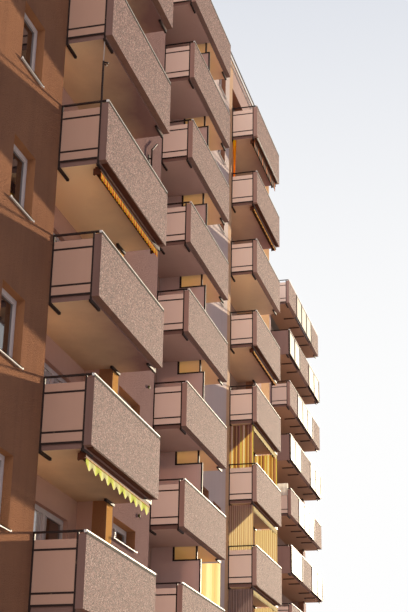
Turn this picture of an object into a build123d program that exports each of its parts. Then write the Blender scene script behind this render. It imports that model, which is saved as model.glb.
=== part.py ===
from build123d import *
from dataclasses import dataclass
import os

# A stepped apartment block in three sections, each with full-height columns of balconies.
# It is a 1:2 scale model: M is one metre of the real building in model millimetres.
# X runs along the street front, Y from the street into the building, Z up from the ground.
SCALE = 0.5
M = 1000 * SCALE

# Storeys and walls
STOREY = 2.80 * M
SLAB = 0.22 * M
WALL = 0.30 * M
SECTION_DEPTH = 10.50 * M
GROUND_SLAB = 0.25 * M

# How far each section's front steps back from the one before, and its first balcony level
STEP_BACK_2 = 1.92 * M
STEP_BACK_3 = 2.77 * M
FIRST_LEVEL_1 = 2.29 * M
FIRST_LEVEL_2 = 3.73 * M
FIRST_LEVEL_3 = 2.34 * M
STOREY_COUNT = 9

# Balcony columns along the front: the wall before each one, and its length
WALL_BEFORE_1 = 4.80 * M
BALCONY_1_LENGTH = 4.00 * M
WALL_BEFORE_2 = 6.04 * M
BALCONY_2_LENGTH = 4.56 * M
WALL_BEFORE_3 = 4.15 * M
BALCONY_3_LENGTH = 4.02 * M
WALL_BEFORE_4 = 13.13 * M
BALCONY_4_LENGTH = 8.40 * M
END_PIER = 0.95 * M

# Balcony section: reach ahead of the wall, recess behind it, and the precast front panel
REACH = 0.97 * M
RECESS = 0.63 * M
PILASTER = 0.33 * M
SLAB_DROP = 0.05 * M
PANEL = 0.14 * M
PANEL_HEIGHT = 1.25 * M
FIELD_1_LONG = 2.05 * M
FIELD_2_LONG = 4.15 * M
FIELD_1_SHORT = 2.75 * M
FIELD_2_SHORT = 2.60 * M
GLAZING = 0.05 * M
PANE = 1.40 * M
RIB_WIDTH = 0.06 * M
RIB_LENGTH = 0.57 * M
RIB_DROP = 0.05 * M

# Balcony steelwork and side infills
POST = 0.035 * M
SIDE_RAIL = 0.035 * M
HANDRAIL = 0.05 * M
HANDRAIL_TOP = 1.32 * M
INFILL = 0.025 * M
INFILL_TOP = 1.17 * M
INFILL_FOOT = 0.07 * M
FOOT_REACH = 0.50 * M
FOOT = 0.05 * M

# Privacy screen in the middle of a double balcony
SCREEN = 0.04 * M
SCREEN_TOP = 2.37 * M
SCREEN_POST = 0.05 * M
SCREEN_POST_INSET = 0.10 * M

# Openings: room windows, high windows and balcony doors, measured from the balcony level
WINDOW_WIDTH = 0.98 * M
WINDOW_SILL = 1.10 * M
WINDOW_HEAD = 2.36 * M
HIGH_WINDOW_WIDTH = 1.45 * M
HIGH_WINDOW_SILL = 2.09 * M
HIGH_WINDOW_HEAD = 2.53 * M
HIGH_WINDOW_GAP = 0.10 * M
WINDOW_GAP = 1.05 * M
DOOR_HEAD = 2.26 * M
DOOR_GAP = 0.45 * M
WALL_BEFORE_DOOR = 1.12 * M
WALL_BEFORE_SHARED_DOOR = 0.40 * M
BACK_WINDOW_WIDTH = 1.60 * M
BACK_WINDOW_PITCH = 4.60 * M
GROUND_SILL = 0.90 * M
GROUND_HEAD = 1.70 * M

# Awnings rolled up under the slabs, and curtains hung at the balcony ends
AWNING_DEPTH = 0.16 * M
AWNING_HEIGHT = 0.18 * M
AWNING_END_GAP = 0.15 * M
CURTAIN = 0.04 * M
CURTAIN_GAP = 0.02 * M
CURTAIN_FOOT = 0.20 * M

# Roof: wall top above the last level, top lintel and the coping
WALL_TOP = 3.07 * M
TOP_LINTEL_FOOT = 2.22 * M
ROOF_WALL_TOP = 0.45 * M
COPING = 0.44 * M
COPING_LIP = 0.05 * M
LOW_COPING = 0.20 * M

os.makedirs("parts", exist_ok=True)


@dataclass
class Balcony:
    name: str
    x: float
    length: float
    doors: int
    wall_before_door: float

    def end_x(self):
        return self.x + self.length


@dataclass
class Section:
    name: str
    x: float
    wall_y: float
    length: float
    first: float
    roof_terrace: bool
    balconies: list

    def levels(self):
        return [self.first + STOREY * i for i in range(STOREY_COUNT)]

    def roof_level(self):
        return self.first + STOREY * STOREY_COUNT

    def wall_top(self):
        if self.roof_terrace:
            return self.roof_level() + ROOF_WALL_TOP
        return self.roof_level() - STOREY + WALL_TOP

    def coping(self):
        return LOW_COPING if self.roof_terrace else COPING

    def coping_lip(self):
        return 0 if self.roof_terrace else COPING_LIP

    def back_y(self):
        return self.wall_y + SECTION_DEPTH

    def end_x(self):
        return self.x + self.length


def block(x0, x1, y0, y1, z0, z1):
    size = Box(x1 - x0, y1 - y0, z1 - z0)
    return Pos((x0 + x1) / 2, (y0 + y1) / 2, (z0 + z1) / 2) * size


# Sections 1 and 2 end behind the high window that follows their last balcony column
AFTER_BALCONY = HIGH_WINDOW_GAP + HIGH_WINDOW_WIDTH + END_PIER
BALCONY_1 = Balcony("1", WALL_BEFORE_1, BALCONY_1_LENGTH, 1, WALL_BEFORE_DOOR)
START_2 = BALCONY_1.end_x() + AFTER_BALCONY
BALCONY_2 = Balcony("2", START_2 + WALL_BEFORE_2, BALCONY_2_LENGTH, 2, WALL_BEFORE_SHARED_DOOR)
BALCONY_3 = Balcony("3", BALCONY_2.end_x() + WALL_BEFORE_3, BALCONY_3_LENGTH, 1, WALL_BEFORE_DOOR)
START_3 = BALCONY_3.end_x() + AFTER_BALCONY
BALCONY_4 = Balcony("4", START_3 + WALL_BEFORE_4, BALCONY_4_LENGTH, 3, WALL_BEFORE_SHARED_DOOR)
BLOCK_END = BALCONY_4.end_x() + WALL
WALL_2_Y = REACH + STEP_BACK_2
WALL_3_Y = WALL_2_Y + STEP_BACK_3
SECTION_1 = Section("1", 0, REACH, START_2, FIRST_LEVEL_1, False, [BALCONY_1])
SECTION_2 = Section("2", START_2, WALL_2_Y, START_3 - START_2, FIRST_LEVEL_2, False, [BALCONY_2, BALCONY_3])
SECTION_3 = Section("3", START_3, WALL_3_Y, BLOCK_END - START_3, FIRST_LEVEL_3, True, [BALCONY_4])
SECTIONS = [SECTION_1, SECTION_2, SECTION_3]

# Foot and head heights of the ground storey's doorways and windows
DOORWAY = (GROUND_SLAB, GROUND_SLAB + GROUND_HEAD)
GROUND_WINDOW = (GROUND_SLAB + GROUND_SILL, GROUND_SLAB + GROUND_HEAD)

NODES = {}


def add(node, *solids):
    NODES.setdefault(node, []).extend(solids)


# Openings of a wall, as columns: each has a left edge, a right edge, and rows of foot and head heights
def window_column(x0, width, section, ground_row):
    rows = [(level + WINDOW_SILL, level + WINDOW_HEAD) for level in section.levels()]
    return x0, x0 + width, [ground_row] + rows


def high_window_column(x0, section):
    rows = [(level + HIGH_WINDOW_SILL, level + HIGH_WINDOW_HEAD) for level in section.levels()]
    return x0, x0 + HIGH_WINDOW_WIDTH, rows


def wall_with_columns(piers, spandrels, x0, x1, y0, y1, z1, columns):
    edge = x0
    for left, right, rows in columns:
        add(piers, block(edge, left, y0, y1, 0, z1))
        foot = 0
        for row_foot, row_head in rows:
            add(spandrels, block(left, right, y0, y1, foot, row_foot))
            foot = row_head
        if foot < z1:
            add(spandrels, block(left, right, y0, y1, foot, z1))
        edge = right
    add(piers, block(edge, x1, y0, y1, 0, z1))


def loggia_right(balcony):
    return balcony.end_x() - PILASTER


# Front wall: windows before each balcony column, open loggias behind it, and mostly high windows after it
def front_columns(section):
    columns = []
    for balcony in section.balconies:
        window_x = balcony.x - WINDOW_GAP - WINDOW_WIDTH
        high_x = balcony.end_x() + HIGH_WINDOW_GAP
        columns.append(window_column(window_x, WINDOW_WIDTH, section, DOORWAY))
        columns.append((balcony.x, loggia_right(balcony), [loggia_rows(section)]))
        if not section.roof_terrace:
            columns.append(high_window_column(high_x, section))
    return columns


def loggia_rows(section):
    if section.roof_terrace:
        return section.first - SLAB_DROP, section.wall_top()
    return section.first - SLAB_DROP, section.roof_level() - STOREY + TOP_LINTEL_FOOT


def back_columns(section):
    count = int((section.length - 2 * WALL - BACK_WINDOW_WIDTH) // BACK_WINDOW_PITCH) + 1
    spread = (count - 1) * BACK_WINDOW_PITCH + BACK_WINDOW_WIDTH
    start = section.x + (section.length - spread) / 2
    columns = []
    for i in range(count):
        x0 = start + i * BACK_WINDOW_PITCH
        columns.append(window_column(x0, BACK_WINDOW_WIDTH, section, GROUND_WINDOW))
    return columns


def make_walls(section):
    tag = section.name
    top = section.wall_top()
    back = section.back_y()
    wall_with_columns("front_piers_" + tag, "front_spandrels_" + tag, section.x, section.end_x(),
                      section.wall_y, section.wall_y + WALL, top, front_columns(section))
    wall_with_columns("back_piers", "back_spandrels", section.x, section.end_x(),
                      back - WALL, back, top, back_columns(section))
    for x0 in (section.x, section.end_x() - WALL):
        add("end_walls_" + tag, block(x0, x0 + WALL, section.wall_y + WALL, back - WALL, 0, top))


# Floors fill the space inside the walls, notched behind each loggia
def floor_plate(section, foot, notched):
    x0 = section.x + WALL
    x1 = section.end_x() - WALL
    y0 = section.wall_y + WALL
    plate = block(x0, x1, y0, section.back_y() - WALL, foot, foot + SLAB)
    if notched:
        for balcony in section.balconies:
            plate -= block(balcony.x - WALL, loggia_right(balcony) + WALL, y0,
                           section.wall_y + RECESS + WALL, foot, foot + SLAB)
    return plate


def make_floors(section):
    tag = section.name
    x0 = section.x + WALL
    x1 = section.end_x() - WALL
    y0 = section.wall_y + WALL
    add("ground_slabs", block(x0, x1, y0, section.back_y() - WALL, 0, GROUND_SLAB))
    for level in section.levels():
        add("floor_slabs_" + tag, floor_plate(section, level - SLAB_DROP, True))
    add("roof_slabs", floor_plate(section, section.roof_level() - SLAB_DROP, False))


def make_coping(section):
    top = section.wall_top()
    z1 = top + section.coping()
    x0 = section.x
    x1 = section.end_x()
    front = section.wall_y
    back = section.back_y()
    lip = section.coping_lip()
    add("roof_edge_back", block(x0, x1, back - WALL, back + lip, top, z1))
    edges = [x0]
    if section.roof_terrace:
        for balcony in section.balconies:
            edges += [balcony.x, loggia_right(balcony)]
    edges.append(x1)
    for left, right in zip(edges[0::2], edges[1::2]):
        add("roof_edge_front", block(left, right, front - lip, front + WALL, top, z1))
    for left in (x0, x1 - WALL):
        add("roof_edge_ends", block(left, left + WALL, front + WALL, back - WALL, top, z1))


# Loggia walls behind the balconies: full-height piers and returns, with a lintel over each door
def door_spans(balcony):
    width = loggia_right(balcony) - balcony.x
    bay = width / balcony.doors
    spans = []
    for i in range(balcony.doors):
        left = balcony.x + bay * i
        spans.append((left + balcony.wall_before_door, left + bay - DOOR_GAP))
    return spans


def make_loggia(section, balcony):
    y0 = section.wall_y + RECESS
    y1 = y0 + WALL
    top = section.roof_level() - SLAB_DROP
    foot = GROUND_SLAB
    edge = balcony.x
    for left, right in door_spans(balcony):
        add("loggia_piers", block(edge, left, y0, y1, foot, top))
        for level in section.levels():
            add("loggia_lintels", block(left, right, y0, y1, level + DOOR_HEAD,
                                        level + STOREY - SLAB_DROP))
        edge = right
    add("loggia_piers", block(edge, loggia_right(balcony), y0, y1, foot, top))
    for x0 in (balcony.x - WALL, loggia_right(balcony)):
        add("loggia_returns", block(x0, x0 + WALL, section.wall_y + WALL, y1, foot, top))


# One balcony: a cantilevered slab with a framed infill at each end
def make_slab(section, balcony, level, depth):
    foot = level - SLAB_DROP
    front = section.wall_y - REACH + PANEL
    wall_y = section.wall_y
    outer = block(balcony.x + POST, balcony.end_x() - POST, front, wall_y, foot, foot + SLAB)
    inner = block(balcony.x, loggia_right(balcony), wall_y, wall_y + depth, foot, foot + SLAB)
    add("balcony_slabs_" + balcony.name, outer + inner)


def make_ends(section, balcony, level, boarded):
    front = section.wall_y - REACH
    outer_y = front + PANEL
    wall_y = section.wall_y
    inner_y = wall_y - POST
    foot = level - SLAB_DROP
    post_foot = level + PANEL_HEIGHT if boarded else foot
    top = level + HANDRAIL_TOP
    far_x = balcony.end_x() - POST
    foot_reach = [(balcony.x, balcony.x + FOOT_REACH), (far_x + POST - FOOT_REACH, far_x + POST)]
    for x0, (foot_x0, foot_x1) in zip((balcony.x, far_x), foot_reach):
        x1 = x0 + POST
        frame = block(x0, x1, outer_y, outer_y + POST, post_foot, top)
        frame += block(x0, x1, inner_y, wall_y, post_foot, top)
        frame += block(x0, x1, front + HANDRAIL, wall_y, top - SIDE_RAIL, top)
        add("end_frames", frame)
        if boarded:
            add("end_boards", block(x0, x1, front + GLAZING, wall_y, foot, post_foot))
        else:
            inset = (POST - INFILL) / 2
            add("end_infills", block(x0 + inset, x1 - inset, outer_y + POST, inner_y, level + INFILL_FOOT,
                                     level + INFILL_TOP))
        for y0 in (outer_y, wall_y - FOOT):
            add("post_feet", block(foot_x0, foot_x1, y0, y0 + FOOT, foot - FOOT, foot))
    add("front_handrails", block(balcony.x, balcony.end_x(), front, front + HANDRAIL,
                                 top - HANDRAIL, top))


# The screen stands on the slab, and two posts join its top to the slab above
def make_screen(section, balcony, level, covered):
    middle = balcony.x + balcony.length / 2
    front = section.wall_y - REACH + PANEL
    foot = level - SLAB_DROP + SLAB
    top = level + SCREEN_TOP
    post_x = middle - SCREEN_POST / 2
    x0 = middle - SCREEN / 2
    x1 = middle + SCREEN / 2
    wall_y = section.wall_y
    add("screen_panels", block(x0, x1, front, wall_y, foot, top))
    inner_top = level + TOP_LINTEL_FOOT
    if covered:
        inner_top = level + STOREY - SLAB_DROP
        for y0 in (front + SCREEN_POST_INSET, wall_y - SCREEN_POST):
            add("screen_posts", block(post_x, post_x + SCREEN_POST, y0, y0 + SCREEN_POST, top, inner_top))
    add("screen_inner_panels", block(x0, x1, wall_y, wall_y + RECESS, foot, inner_top))


# An awning is rolled up between the feet of the end frames above, and hangs from them
def make_awning(section, balcony, index):
    top = section.levels()[index] - SLAB_DROP - FOOT
    front = section.wall_y - REACH + PANEL
    add("awnings", block(balcony.x + AWNING_END_GAP, balcony.end_x() - AWNING_END_GAP, front,
                         front + AWNING_DEPTH, top - AWNING_HEIGHT, top))


# A curtain hangs just inside a balcony's end, from the feet of the end frame above
def make_end_curtain(section, balcony, index, far):
    level = section.levels()[index]
    x0 = balcony.x + POST + CURTAIN_GAP
    if far:
        x0 = balcony.end_x() - POST - CURTAIN_GAP - CURTAIN
    add("end_curtains", block(x0, x0 + CURTAIN, section.wall_y - REACH + PANEL, section.wall_y,
                              level + CURTAIN_FOOT, level + STOREY - SLAB_DROP - FOOT))


# Ribs carry a glazed field under its edges and between its panes, but not at the balcony's ends
def make_ribs(balcony, front, level, left, right):
    panes = round((right - left) / PANE)
    back = front + PANEL
    top = level - SLAB_DROP
    for i in range(panes + 1):
        middle = left + (right - left) * i / panes
        x0 = middle - RIB_WIDTH / 2
        if balcony.x < middle < balcony.end_x():
            add("balcony_ribs", block(x0, x0 + RIB_WIDTH, back, back + RIB_LENGTH, top - RIB_DROP, top))


def make_front_panel(section, balcony, level, boarded):
    front = section.wall_y - REACH
    x0 = balcony.x
    x1 = balcony.end_x()
    z1 = level + PANEL_HEIGHT
    if not section.roof_terrace:
        add("front_panels_" + balcony.name, block(x0, x1, front, front + PANEL, level, z1))
        return
    if boarded:
        a = x0 + FIELD_1_SHORT
        b = a + FIELD_2_SHORT
        heavy = [(a, b)]
        light = [(x0, a), (b, x1)]
    else:
        a = x0 + FIELD_1_LONG
        b = a + FIELD_2_LONG
        heavy = [(x0, a), (b, x1)]
        light = [(a, b)]
    for left, right in heavy:
        add("front_panels_" + balcony.name, block(left, right, front, front + PANEL, level, z1))
    for left, right in light:
        add("glazed_panels", block(left, right, front, front + GLAZING, level, z1))
        make_ribs(balcony, front, level, left, right)


# On the roof-terrace section, every second storey down has boarded ends and its glazing at the ends
def make_balconies(section, balcony):
    levels = section.levels()
    for i, level in enumerate(levels):
        make_slab(section, balcony, level, RECESS)
        if balcony.doors == 2:
            make_screen(section, balcony, level, i < len(levels) - 1)
    if section.roof_terrace:
        levels = levels + [section.roof_level()]
        make_slab(section, balcony, section.roof_level(), WALL)
    for i, level in enumerate(levels):
        boarded = section.roof_terrace and (len(levels) - i) % 2 == 0
        make_ends(section, balcony, level, boarded)
        make_front_panel(section, balcony, level, boarded)


for section in SECTIONS:
    make_walls(section)
    make_floors(section)
    make_coping(section)
    for balcony in section.balconies:
        make_loggia(section, balcony)
        make_balconies(section, balcony)

for i in (2, 4):
    make_awning(SECTION_1, BALCONY_1, i)
for i in (2, 3, 4, 5, 7, 8):
    make_awning(SECTION_2, BALCONY_3, i)
for i in (1, 2, 3):
    make_end_curtain(SECTION_2, BALCONY_3, i, False)
    make_end_curtain(SECTION_2, BALCONY_3, i, True)
make_end_curtain(SECTION_2, BALCONY_2, 1, True)

# The origin is on the ground, in the middle of the block's outline
CENTRE_X = BLOCK_END / 2
CENTRE_Y = SECTION_3.back_y() / 2

for node, solids in NODES.items():
    placed = [Pos(-CENTRE_X, -CENTRE_Y, 0) * solid for solid in solids]
    export_step(Compound(children=placed), "parts/" + node + ".step")
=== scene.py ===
import bpy
from dataclasses import dataclass
from math import copysign, cos, pi, radians, sin
from mathutils import Matrix, Vector


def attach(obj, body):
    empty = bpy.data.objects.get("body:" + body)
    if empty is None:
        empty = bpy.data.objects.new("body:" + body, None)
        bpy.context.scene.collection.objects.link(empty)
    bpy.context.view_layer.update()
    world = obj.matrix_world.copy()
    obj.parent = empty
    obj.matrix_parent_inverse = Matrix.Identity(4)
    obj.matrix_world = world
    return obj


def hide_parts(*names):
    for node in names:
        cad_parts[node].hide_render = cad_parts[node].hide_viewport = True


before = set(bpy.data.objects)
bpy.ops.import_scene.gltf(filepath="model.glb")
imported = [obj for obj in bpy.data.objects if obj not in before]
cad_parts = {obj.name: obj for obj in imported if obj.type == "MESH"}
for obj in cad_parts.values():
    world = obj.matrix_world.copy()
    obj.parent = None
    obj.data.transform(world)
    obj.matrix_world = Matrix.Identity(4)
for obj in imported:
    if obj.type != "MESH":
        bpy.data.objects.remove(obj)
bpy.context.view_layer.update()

# Sizes are in metres of the real building: x along the front from the near end, y from the foremost
# balcony front into the building, z up from the ground. place() brings them to the half-size model.
# The sizes inside a material are in metres of that model.
SCALE = 0.5
BLOCK_LENGTH = 54.40
BLOCK_DEPTH = 16.16

# Storeys and walls
STOREY = 2.80
STOREYS = 9
SLAB = 0.22
SLAB_DROP = 0.05
WALL = 0.30
SECTION_DEPTH = 10.50
GROUND_SLAB = 0.25
GROUND_SILL = 0.90
GROUND_HEAD = 1.70

# Balconies, their screens and their clear panes
REACH = 0.97
RECESS = 0.63
PILASTER = 0.33
PANEL = 0.14
PANEL_HEIGHT = 1.25
POST = 0.035
HANDRAIL_TOP = 1.32
FOOT = 0.05
SCREEN = 0.04
SCREEN_TOP = 2.37
GLAZING = 0.05
PANE = 1.40
FIELD_1_LONG = 2.05
FIELD_2_LONG = 4.15
FIELD_1_SHORT = 2.75
FIELD_2_SHORT = 2.60

# Cloth on the balconies
AWNING_END_GAP = 0.15
CURTAIN_GAP = 0.02
CURTAIN = 0.04
CURTAIN_FOOT = 0.20

# Windows and doors
WINDOW_WIDTH = 0.98
WINDOW_SILL = 1.10
WINDOW_HEAD = 2.36
WINDOW_GAP = 1.05
HIGH_WINDOW_WIDTH = 1.45
HIGH_WINDOW_SILL = 2.09
HIGH_WINDOW_HEAD = 2.53
HIGH_WINDOW_GAP = 0.10
DOOR_HEAD = 2.26
DOOR_GAP = 0.45
DOOR_FOOT = SLAB - SLAB_DROP
BACK_WINDOW_WIDTH = 1.60
BACK_WINDOW_PITCH = 4.60

# How deep the frames stand in their openings, and which way the wall looks
WINDOW_SETBACK = 0.16
HIGH_WINDOW_SETBACK = 0.20
DOOR_SETBACK = 0.10
BACK_WINDOW_SETBACK = 0.14
DOORWAY_SETBACK = 0.12
TO_STREET = -1
TO_BACK = 1


@dataclass
class Balcony:
    x: float
    length: float
    doors: int
    wall_before_door: float

    def middle_x(self):
        return self.x + self.length / 2

    def end_x(self):
        return self.x + self.length

    # The window column in the wall before the balcony
    def window_x(self):
        return self.x - WINDOW_GAP - WINDOW_WIDTH

    def door_spans(self):
        bay = (self.length - PILASTER) / self.doors
        lefts = [self.x + bay * i for i in range(self.doors)]
        return [(left + self.wall_before_door, left + bay - DOOR_GAP) for left in lefts]


@dataclass
class Section:
    name: str
    x: float
    length: float
    wall_y: float
    first: float
    top: float
    balconies: list

    def level(self, storey):
        return self.first + STOREY * storey

    def front_y(self):
        return self.wall_y - REACH

    # The inner face of the balcony fronts
    def inner_y(self):
        return self.front_y() + PANEL

    def back_y(self):
        return self.wall_y + SECTION_DEPTH


BALCONY_1 = Balcony(4.80, 4.00, 1, 1.12)
BALCONY_2 = Balcony(17.34, 4.56, 2, 0.40)
BALCONY_3 = Balcony(26.05, 4.02, 1, 1.12)
BALCONY_4 = Balcony(45.70, 8.40, 3, 0.40)
SECTION_1 = Section("1", 0.0, 11.30, 0.97, 2.29, 27.76, [BALCONY_1])
SECTION_2 = Section("2", 11.30, 21.27, 2.89, 3.73, 29.20, [BALCONY_2, BALCONY_3])
SECTION_3 = Section("3", 32.57, 21.83, 5.66, 2.34, 27.99, [BALCONY_4])
SECTIONS = [SECTION_1, SECTION_2, SECTION_3]
COLUMNS = [(section, balcony) for section in SECTIONS for balcony in section.balconies]


def place(x, y, z):
    return Vector(((x - BLOCK_LENGTH / 2) * SCALE, (y - BLOCK_DEPTH / 2) * SCALE, z * SCALE))


def new_object(name, data):
    made = bpy.data.objects.new(name, data)
    bpy.context.collection.objects.link(made)
    return made


# Camera: low on the pavement beside the near end, looking up along the front
CAMERA_PLACE = (-15.60, -7.60, 1.60)
CAMERA_YAW = radians(15.40)
CAMERA_PITCH = radians(22.36)
CAMERA_ROLL = radians(1.02)
FOCAL_PIXELS = 1296.8
IMAGE_HEIGHT = 612
SENSOR_WIDTH = 36
FARTHEST_SHOWN = 500


def make_camera():
    data = bpy.data.cameras.new("camera")
    data.sensor_width = SENSOR_WIDTH
    data.lens = SENSOR_WIDTH * FOCAL_PIXELS / IMAGE_HEIGHT
    data.clip_end = FARTHEST_SHOWN
    ahead = Vector((cos(CAMERA_PITCH) * cos(CAMERA_YAW),
                    cos(CAMERA_PITCH) * sin(CAMERA_YAW), sin(CAMERA_PITCH)))
    level_right = Vector((sin(CAMERA_YAW), -cos(CAMERA_YAW), 0))
    level_up = level_right.cross(ahead)
    right = cos(CAMERA_ROLL) * level_right + sin(CAMERA_ROLL) * level_up
    turn = Matrix((right, right.cross(ahead), -ahead)).transposed().to_4x4()
    camera = new_object("camera", data)
    camera.matrix_world = Matrix.Translation(place(*CAMERA_PLACE)) @ turn
    bpy.context.scene.camera = camera


make_camera()


def rgb(red, green, blue):
    def linear(value):
        value /= 255
        return value / 12.92 if value <= 0.04045 else ((value + 0.055) / 1.055) ** 2.4
    return linear(red), linear(green), linear(blue), 1.0


def darker(colour, share):
    return rgb(*[int(value * share) for value in colour])


# One node tree, of a material, a group, the world or a modifier
class Tree:
    def __init__(self, tree):
        self.tree = tree

    def node(self, kind, inputs=None, **settings):
        made = self.tree.nodes.new(kind)
        for name, value in settings.items():
            setattr(made, name, value)
        self.feed(made, inputs or {})
        return made

    # Each input takes either another node's output or a plain value
    def feed(self, node, inputs):
        for name, value in inputs.items():
            if isinstance(value, bpy.types.NodeSocket):
                self.tree.links.new(value, node.inputs[name])
            else:
                node.inputs[name].default_value = value

    def math(self, operation, *values, clamp=False):
        made = self.node("ShaderNodeMath", dict(enumerate(values)), operation=operation, use_clamp=clamp)
        return made.outputs[0]

    def times(self, a, b):
        return self.math("MULTIPLY", a, b)

    def blend(self, factor, a, b):
        return self.node("ShaderNodeMix", {0: factor, 2: a, 3: b}, data_type="FLOAT").outputs[0]

    def mix(self, factor, a, b, blend="MIX"):
        made = self.node("ShaderNodeMix", {0: factor, 6: a, 7: b}, data_type="RGBA", blend_type=blend)
        return made.outputs[2]

    def band(self, value, low, high):
        made = self.node("ShaderNodeMapRange", {"Value": value, "From Min": low, "From Max": high})
        return made.outputs["Result"]

    def noise(self, vector, scale, detail=3.0, roughness=0.55):
        made = self.node("ShaderNodeTexNoise", {"Vector": vector, "Scale": scale, "Detail": detail,
                                                "Roughness": roughness})
        return made.outputs["Fac"]

    def stretched(self, vector, sizes):
        return self.node("ShaderNodeMapping", {"Vector": vector, "Scale": sizes}).outputs["Vector"]

    def axes(self, vector):
        return self.node("ShaderNodeSeparateXYZ", {"Vector": vector}).outputs

    # How far a face looks along one axis, from -1 to 1
    def facing(self, axis):
        return self.axes(self.node("ShaderNodeNewGeometry").outputs["Normal"])[axis]

    def bump(self, height, strength, distance):
        made = self.node("ShaderNodeBump", {"Height": height, "Strength": strength, "Distance": distance})
        return made.outputs["Normal"]

    # Plain colours side by side, each from its own start
    def steps(self, value, stops):
        ramp = self.node("ShaderNodeValToRGB", {"Fac": value})
        ramp.color_ramp.interpolation = "CONSTANT"
        elements = ramp.color_ramp.elements
        while len(elements) < len(stops):
            elements.new(0.5)
        for element, (start, colour) in zip(elements, stops):
            element.position = start
            element.color = rgb(*colour)
        return ramp.outputs["Color"]

    # 1 where a surface is seen straight, in a reflection or through glass, and 0 where it only lights
    def seen(self):
        path = self.node("ShaderNodeLightPath").outputs
        mirrored = self.math("MAXIMUM", path["Is Glossy Ray"], path["Is Transmission Ray"])
        return self.math("MAXIMUM", path["Is Camera Ray"], mirrored)


# A new group of nodes, with sockets of the given kinds
def group(name, kind, inputs, outputs):
    tree = bpy.data.node_groups.new(name, kind)
    for side, sockets in (("INPUT", inputs), ("OUTPUT", outputs)):
        for socket, holds in sockets.items():
            tree.interface.new_socket(socket, in_out=side, socket_type="NodeSocket" + holds)
    t = Tree(tree)
    return t, t.node("NodeGroupInput").outputs, t.node("NodeGroupOutput")


# Uneven tone of a painted or cast surface: broad clouds, fine grain, and the rain's streaks down it
def make_weathering():
    t, given, out = group("weathering", "ShaderNodeTree",
                          {"Vector": "Vector", "Streaks": "Float", "Grain": "Float"},
                          {"Tone": "Float", "Height": "Float"})
    clouds = t.noise(given["Vector"], 1.1, 4.0)
    rain = t.noise(t.stretched(given["Vector"], (5.0, 5.0, 0.35)), 1.6, 4.0, 0.6)
    grain = t.noise(given["Vector"], given["Grain"], 3.0, 0.5)
    streaked = t.times(t.band(rain, 0.45, 0.75), given["Streaks"])
    grained = t.times(t.math("SUBTRACT", grain, 0.5), 0.25)
    tone = t.math("SUBTRACT", t.math("ADD", t.times(clouds, 0.5), 0.25), streaked)
    t.feed(out, {"Tone": t.math("ADD", tone, grained, clamp=True), "Height": grain})
    return t.tree


# Washed pebbles in concrete: cells of mixed colour, each a little dome, with mortar between them
PEBBLE_COLOURS = [(0.0, (58, 42, 42)), (0.26, (128, 96, 92)), (0.42, (156, 118, 114)),
                  (0.64, (180, 140, 136)), (0.82, (140, 98, 90)), (0.92, (208, 178, 170))]
MORTAR = (98, 80, 74)


def make_pebbles():
    t, given, out = group("pebbles", "ShaderNodeTree", {"Vector": "Vector", "Scale": "Float"},
                          {"Color": "Color", "Height": "Float"})
    cells = t.node("ShaderNodeTexVoronoi", {"Vector": given["Vector"], "Scale": given["Scale"]}).outputs
    chance = t.node("ShaderNodeSeparateColor", {"Color": cells["Color"]}).outputs["Red"]
    mortar = t.band(cells["Distance"], 0.45, 0.62)
    t.feed(out, {"Color": t.mix(mortar, t.steps(chance, PEBBLE_COLOURS), rgb(*MORTAR)),
                 "Height": t.math("SUBTRACT", 1.0, cells["Distance"])})
    return t.tree


WEATHERING = make_weathering()
PEBBLES = make_pebbles()

# How much plaster, paint and metal shine, and glass and smooth board
MATT = 0.12
GLOSSY = 0.5

# How far a face must turn to count as another side
TURNED = 0.5


# A new material, with the place on the piece, its shader and its output
class Finish(Tree):
    def __init__(self, name):
        self.material = bpy.data.materials.new(name)
        self.material.use_nodes = True
        super().__init__(self.material.node_tree)
        self.tree.nodes.clear()
        self.place = self.node("ShaderNodeTexCoord").outputs["Object"]
        self.shader = self.node("ShaderNodeBsdfPrincipled")
        self.output = self.node("ShaderNodeOutputMaterial", {"Surface": self.shader.outputs["BSDF"]})

    def surface(self, colour, roughness, specular=MATT, normal=None):
        self.feed(self.shader, {"Base Color": colour, "Roughness": roughness,
                                "Specular IOR Level": specular})
        if normal:
            self.feed(self.shader, {"Normal": normal})
        return self.material

    def weathered(self, streaks, grain):
        inputs = {"Vector": self.place, "Streaks": streaks, "Grain": grain}
        return self.node("ShaderNodeGroup", inputs, node_tree=WEATHERING).outputs

    # A light and a dark tone mixed by the weathering: one pair, or a list of pairs that each have the
    # place along the front where they start
    def toned(self, worn, tones):
        if isinstance(tones, tuple):
            light, dark = tones
            return self.mix(worn["Tone"], rgb(*dark), rgb(*light))
        along = self.axes(self.place)["X"]
        light, dark = rgb(*tones[0][1]), rgb(*tones[0][2])
        for start, next_light, next_dark in tones[1:]:
            beyond = self.math("GREATER_THAN", along, place(start, 0, 0).x)
            light = self.mix(beyond, light, rgb(*next_light))
            dark = self.mix(beyond, dark, rgb(*next_dark))
        return self.mix(worn["Tone"], dark, light)

    # The sun behind a thin surface shows through it by the given share
    def translucent(self, colour, share):
        glow = self.node("ShaderNodeBsdfTranslucent", {"Color": colour}).outputs["BSDF"]
        both = self.node("ShaderNodeMixShader", {0: share, 1: self.shader.outputs["BSDF"], 2: glow})
        self.feed(self.output, {"Surface": both.outputs["Shader"]})


# A matt mineral or painted surface. The reveals of its openings can have warmer tones of their own, partly
# their paint and partly painted bounce light.
def mineral(name, tones, streaks=0.25, grain=60.0, roughness=0.9, relief=0.35, depth=0.004, reveals=None,
            specular=MATT):
    t = Finish(name)
    worn = t.weathered(streaks, grain)
    colour = t.toned(worn, tones)
    if reveals:
        # Faces turned from the street are the reveals; their own tones partly paint bounce light.
        turned = t.math("LESS_THAN", t.math("ABSOLUTE", t.facing("Y")), TURNED)
        colour = t.mix(turned, colour, t.toned(worn, reveals))
    return t.surface(colour, roughness, specular, t.bump(worn["Height"], relief, depth))
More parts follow.
